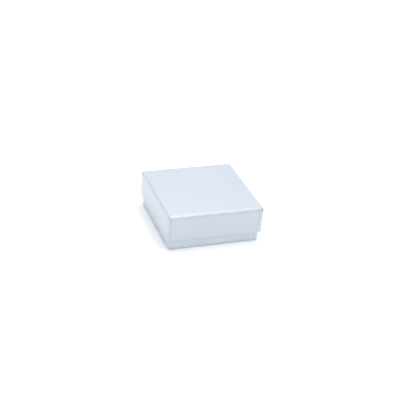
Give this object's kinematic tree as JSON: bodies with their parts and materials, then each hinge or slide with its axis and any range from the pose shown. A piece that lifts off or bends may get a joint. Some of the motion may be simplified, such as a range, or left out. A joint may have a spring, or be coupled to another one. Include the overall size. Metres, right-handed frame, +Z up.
{
  "type": "jewelry gift box",
  "caption": "Square two-piece rigid paper box: a lift-off lid telescoping over a shallow tray, with a removable slit velvet pad for small jewellery.",
  "frame": {"origin": "middle of the tray's underside, on the surface that the closed box stands on", "axes": "+Z up through the lid; -Y is the front wall, +X the right-hand wall seen from the front"},
  "size_m": [0.09, 0.09, 0.035],
  "materials": {
    "pearl_paper": "satin",
    "greyboard": "matte",
    "liner_paper": "matte",
    "stay_tape": "matte",
    "white_card": "matte",
    "foam": "matte",
    "velvet": "matte"
  },
  "bodies": {
    "tray": {"tray_board": "greyboard", "tray_wrap": "pearl_paper", "tray_stay_front_left": "stay_tape", "tray_stay_front_right": "stay_tape", "tray_stay_back_left": "stay_tape", "tray_stay_back_right": "stay_tape"},
    "pad": {"pad_foam": "foam", "pad_card": "white_card", "pad_cover": "velvet"},
    "lid": {"lid_board": "greyboard", "lid_wrap": "pearl_paper", "lid_liner": "liner_paper", "lid_stay_front_left": "stay_tape", "lid_stay_front_right": "stay_tape", "lid_stay_back_left": "stay_tape", "lid_stay_back_right": "stay_tape"}
  },
  "joints": [
    {"name": "pad_lift", "type": "slide", "parent": "tray", "child": "pad", "axis": [0, 0, 1], "range_m": [0, 0.045]},
    {"name": "lid_lift", "type": "slide", "parent": "pad", "child": "lid", "axis": [0, 0, 1], "range_m": [0, 0.045]}
  ]
}
